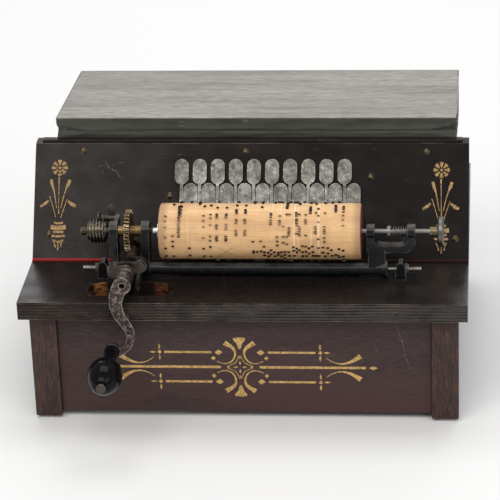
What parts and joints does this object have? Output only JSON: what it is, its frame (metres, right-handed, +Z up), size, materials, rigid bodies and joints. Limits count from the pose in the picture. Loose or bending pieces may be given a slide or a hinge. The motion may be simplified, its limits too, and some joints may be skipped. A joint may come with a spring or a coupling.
{
  "type": "roller organ",
  "caption": "Table-top reed organ: a hand crank turns a pinned wooden roller under sprung keys and pumps feeder bellows in the base; a wedge reservoir lies on top.",
  "frame": {"origin": "centre of the object's box on the plane it stands on", "axes": "+X to the player's right, +Y from the crank to the back, +Z up"},
  "size_m": [0.3556, 0.3572, 0.2094],
  "materials": {
    "ebonized_wood": "worn black-stained varnish",
    "post_wood": "dark stained, open grain",
    "grey_board": "worn grey-black stain",
    "inner_wood": "plain sawn softwood",
    "bellows_cloth": "rubbed dark green-grey cloth",
    "felt": "red wool felt",
    "black_iron": "black japan over iron",
    "bare_iron": "bare grey-brown iron",
    "rusty_iron": "rusty red-brown iron",
    "steel": "dull worn steel",
    "brass": "tarnished brass",
    "pewter": "grey key metal",
    "black_handle": "black glossy lacquer",
    "cob_wood": "pale tan wood",
    "foot_stud": "cream domed studs"
  },
  "bodies": {
    "case": {"shelf": "ebonized_wood", "front_panel": "ebonized_wood", "back_panel": "ebonized_wood", "side_panels": "ebonized_wood", "corner_posts": "post_wood", "base_floor": "inner_wood", "feet": "foot_stud", "inclined_board": "ebonized_wood", "felt_strip": "felt", "chest_walls": "ebonized_wood", "chest_top": "ebonized_wood", "board_screws": "brass", "reed_pan": "inner_wood", "reeds": "brass", "key_rail": "inner_wood", "key_rod": "steel", "reservoir_cloth": "bellows_cloth", "feeder_centre_board": "inner_wood", "feeder_upper_cloth": "bellows_cloth", "feeder_lower_cloth": "bellows_cloth", "pivot_lugs": "black_iron", "pivot_screws": "steel"},
    "cradle": {"cradle_frame": "black_iron", "worm_housing": "rusty_iron", "tail_spring": "steel"},
    "crank": {"crank_arm": "bare_iron", "crankshaft": "steel", "handle_rivet": "bare_iron"},
    "handle": {"crank_handle": "black_handle"},
    "pitman_front": {"pitman_front": "steel"},
    "pitman_rear": {"pitman_rear": "steel"},
    "wheel": {"worm_wheel": "brass"},
    "cob": {"drive_spindle": "bare_iron", "cob": "cob_wood", "cob_pins": "steel"},
    "tail": {"tail_spindle": "steel"},
    "knife": {"shift_knife": "bare_iron"},
    "reservoir_top": {"reservoir_board": "grey_board"},
    "feeder_upper": {"feeder_upper_board": "inner_wood"},
    "feeder_lower": {"feeder_lower_board": "inner_wood"},
    "key_01": {"key_01": "pewter"},
    "key_02": {"key_02": "pewter"},
    "key_03": {"key_03": "pewter"},
    "key_04": {"key_04": "pewter"},
    "key_05": {"key_05": "pewter"},
    "key_06": {"key_06": "pewter"},
    "key_07": {"key_07": "pewter"},
    "key_08": {"key_08": "pewter"},
    "key_09": {"key_09": "pewter"},
    "key_10": {"key_10": "pewter"},
    "key_11": {"key_11": "pewter"},
    "key_12": {"key_12": "pewter"},
    "key_13": {"key_13": "pewter"},
    "key_14": {"key_14": "pewter"},
    "key_15": {"key_15": "pewter"},
    "key_16": {"key_16": "pewter"},
    "key_17": {"key_17": "pewter"},
    "key_18": {"key_18": "pewter"},
    "key_19": {"key_19": "pewter"},
    "key_20": {"key_20": "pewter"}
  },
  "joints": [
    {"name": "cradle_tilt", "type": "hinge", "parent": "case", "child": "cradle", "pos_m": [0, -0.05745, 0.1155], "axis": [1, 0, 0], "range_deg": [0, 4]},
    {"name": "crank_spin", "type": "hinge", "parent": "cradle", "child": "crank", "pos_m": [-0.0918, -0.10745, 0.12645], "axis": [0, 1, 0], "continuous": true},
    {"name": "handle_spin", "type": "hinge", "parent": "crank", "child": "handle", "pos_m": [-0.1028, -0.17855, 0.06895], "axis": [0, 1, 0], "continuous": true},
    {"name": "pitman_front_swing", "type": "hinge", "parent": "crank", "child": "pitman_front", "pos_m": [-0.1018, -0.08095, 0.12645], "axis": [0, 1, 0], "continuous": true},
    {"name": "pitman_rear_swing", "type": "hinge", "parent": "crank", "child": "pitman_rear", "pos_m": [-0.0818, -0.08095, 0.12645], "axis": [0, 1, 0], "continuous": true},
    {"name": "wheel_spin", "type": "hinge", "parent": "cradle", "child": "wheel", "pos_m": [-0.093, -0.05295, 0.1462], "axis": [1, 0, 0], "continuous": true},
    {"name": "cob_shift", "type": "slide", "parent": "wheel", "child": "cob", "axis": [1, 0, 0], "range_m": [-0.0025, 0.0025]},
    {"name": "tail_pull", "type": "slide", "parent": "cradle", "child": "tail", "axis": [1, 0, 0], "range_m": [0, 0.01], "stiffness_N_per_m": 200, "springref_m": -0.01, "deforming": ["tail_spring"]},
    {"name": "knife_drop", "type": "hinge", "parent": "cradle", "child": "knife", "pos_m": [-0.1255, -0.04095, 0.152], "axis": [1, 0, 0], "range_deg": [0, 14]},
    {"name": "reservoir_fold", "type": "hinge", "parent": "case", "child": "reservoir_top", "pos_m": [0.0033, 0.17255, 0.1926], "axis": [1, 0, 0], "range_deg": [0, 4], "stiffness_Nm_per_rad": 0.5, "springref_deg": -34.38, "deforming": ["reservoir_cloth"]},
    {"name": "feeder_upper_swing", "type": "hinge", "parent": "case", "child": "feeder_upper", "pos_m": [0.15, 0.04255, 0.0566], "axis": [0, 1, 0], "range_deg": [-2.32, 2.32], "deforming": ["feeder_upper_cloth"]},
    {"name": "feeder_lower_swing", "type": "hinge", "parent": "case", "child": "feeder_lower", "pos_m": [0.15, 0.04255, 0.0474], "axis": [0, 1, 0], "range_deg": [-2.32, 2.32], "deforming": ["feeder_lower_cloth"]},
    {"name": "key_01_lift", "type": "hinge", "parent": "case", "child": "key_01", "pos_m": [-0.0561, -0.01605, 0.14077], "axis": [1, 0, 0], "range_deg": [0, 5], "stiffness_Nm_per_rad": 0.02, "springref_deg": -5.73},
    {"name": "key_02_lift", "type": "hinge", "parent": "case", "child": "key_02", "pos_m": [-0.0487, -0.01605, 0.14077], "axis": [1, 0, 0], "range_deg": [0, 5], "stiffness_Nm_per_rad": 0.02, "springref_deg": -5.73},
    {"name": "key_03_lift", "type": "hinge", "parent": "case", "child": "key_03", "pos_m": [-0.0413, -0.01605, 0.14077], "axis": [1, 0, 0], "range_deg": [0, 5], "stiffness_Nm_per_rad": 0.02, "springref_deg": -5.73},
    {"name": "key_04_lift", "type": "hinge", "parent": "case", "child": "key_04", "pos_m": [-0.0339, -0.01605, 0.14077], "axis": [1, 0, 0], "range_deg": [0, 5], "stiffness_Nm_per_rad": 0.02, "springref_deg": -5.73},
    {"name": "key_05_lift", "type": "hinge", "parent": "case", "child": "key_05", "pos_m": [-0.0265, -0.01605, 0.14077], "axis": [1, 0, 0], "range_deg": [0, 5], "stiffness_Nm_per_rad": 0.02, "springref_deg": -5.73},
    {"name": "key_06_lift", "type": "hinge", "parent": "case", "child": "key_06", "pos_m": [-0.0191, -0.01605, 0.14077], "axis": [1, 0, 0], "range_deg": [0, 5], "stiffness_Nm_per_rad": 0.02, "springref_deg": -5.73},
    {"name": "key_07_lift", "type": "hinge", "parent": "case", "child": "key_07", "pos_m": [-0.0117, -0.01605, 0.14077], "axis": [1, 0, 0], "range_deg": [0, 5], "stiffness_Nm_per_rad": 0.02, "springref_deg": -5.73},
    {"name": "key_08_lift", "type": "hinge", "parent": "case", "child": "key_08", "pos_m": [-0.0043, -0.01605, 0.14077], "axis": [1, 0, 0], "range_deg": [0, 5], "stiffness_Nm_per_rad": 0.02, "springref_deg": -5.73},
    {"name": "key_09_lift", "type": "hinge", "parent": "case", "child": "key_09", "pos_m": [0.0031, -0.01605, 0.14077], "axis": [1, 0, 0], "range_deg": [0, 5], "stiffness_Nm_per_rad": 0.02, "springref_deg": -5.73},
    {"name": "key_10_lift", "type": "hinge", "parent": "case", "child": "key_10", "pos_m": [0.0105, -0.01605, 0.14077], "axis": [1, 0, 0], "range_deg": [0, 5], "stiffness_Nm_per_rad": 0.02, "springref_deg": -5.73},
    {"name": "key_11_lift", "type": "hinge", "parent": "case", "child": "key_11", "pos_m": [0.0179, -0.01605, 0.14077], "axis": [1, 0, 0], "range_deg": [0, 5], "stiffness_Nm_per_rad": 0.02, "springref_deg": -5.73},
    {"name": "key_12_lift", "type": "hinge", "parent": "case", "child": "key_12", "pos_m": [0.0253, -0.01605, 0.14077], "axis": [1, 0, 0], "range_deg": [0, 5], "stiffness_Nm_per_rad": 0.02, "springref_deg": -5.73},
    {"name": "key_13_lift", "type": "hinge", "parent": "case", "child": "key_13", "pos_m": [0.0327, -0.01605, 0.14077], "axis": [1, 0, 0], "range_deg": [0, 5], "stiffness_Nm_per_rad": 0.02, "springref_deg": -5.73},
    {"name": "key_14_lift", "type": "hinge", "parent": "case", "child": "key_14", "pos_m": [0.0401, -0.01605, 0.14077], "axis": [1, 0, 0], "range_deg": [0, 5], "stiffness_Nm_per_rad": 0.02, "springref_deg": -5.73},
    {"name": "key_15_lift", "type": "hinge", "parent": "case", "child": "key_15", "pos_m": [0.0475, -0.01605, 0.14077], "axis": [1, 0, 0], "range_deg": [0, 5], "stiffness_Nm_per_rad": 0.02, "springref_deg": -5.73},
    {"name": "key_16_lift", "type": "hinge", "parent": "case", "child": "key_16", "pos_m": [0.0549, -0.01605, 0.14077], "axis": [1, 0, 0], "range_deg": [0, 5], "stiffness_Nm_per_rad": 0.02, "springref_deg": -5.73},
    {"name": "key_17_lift", "type": "hinge", "parent": "case", "child": "key_17", "pos_m": [0.0623, -0.01605, 0.14077], "axis": [1, 0, 0], "range_deg": [0, 5], "stiffness_Nm_per_rad": 0.02, "springref_deg": -5.73},
    {"name": "key_18_lift", "type": "hinge", "parent": "case", "child": "key_18", "pos_m": [0.0697, -0.01605, 0.14077], "axis": [1, 0, 0], "range_deg": [0, 5], "stiffness_Nm_per_rad": 0.02, "springref_deg": -5.73},
    {"name": "key_19_lift", "type": "hinge", "parent": "case", "child": "key_19", "pos_m": [0.0771, -0.01605, 0.14077], "axis": [1, 0, 0], "range_deg": [0, 5], "stiffness_Nm_per_rad": 0.02, "springref_deg": -5.73},
    {"name": "key_20_lift", "type": "hinge", "parent": "case", "child": "key_20", "pos_m": [0.0845, -0.01605, 0.14077], "axis": [1, 0, 0], "range_deg": [0, 5], "stiffness_Nm_per_rad": 0.02, "springref_deg": -5.73}
  ],
  "couplings": [
    {"joint": "wheel_spin", "follows": "crank_spin", "ratio": -0.033333},
    {"joint": "pitman_front_swing", "follows": "crank_spin", "ratio": -1},
    {"joint": "pitman_rear_swing", "follows": "crank_spin", "ratio": -1}
  ]
}
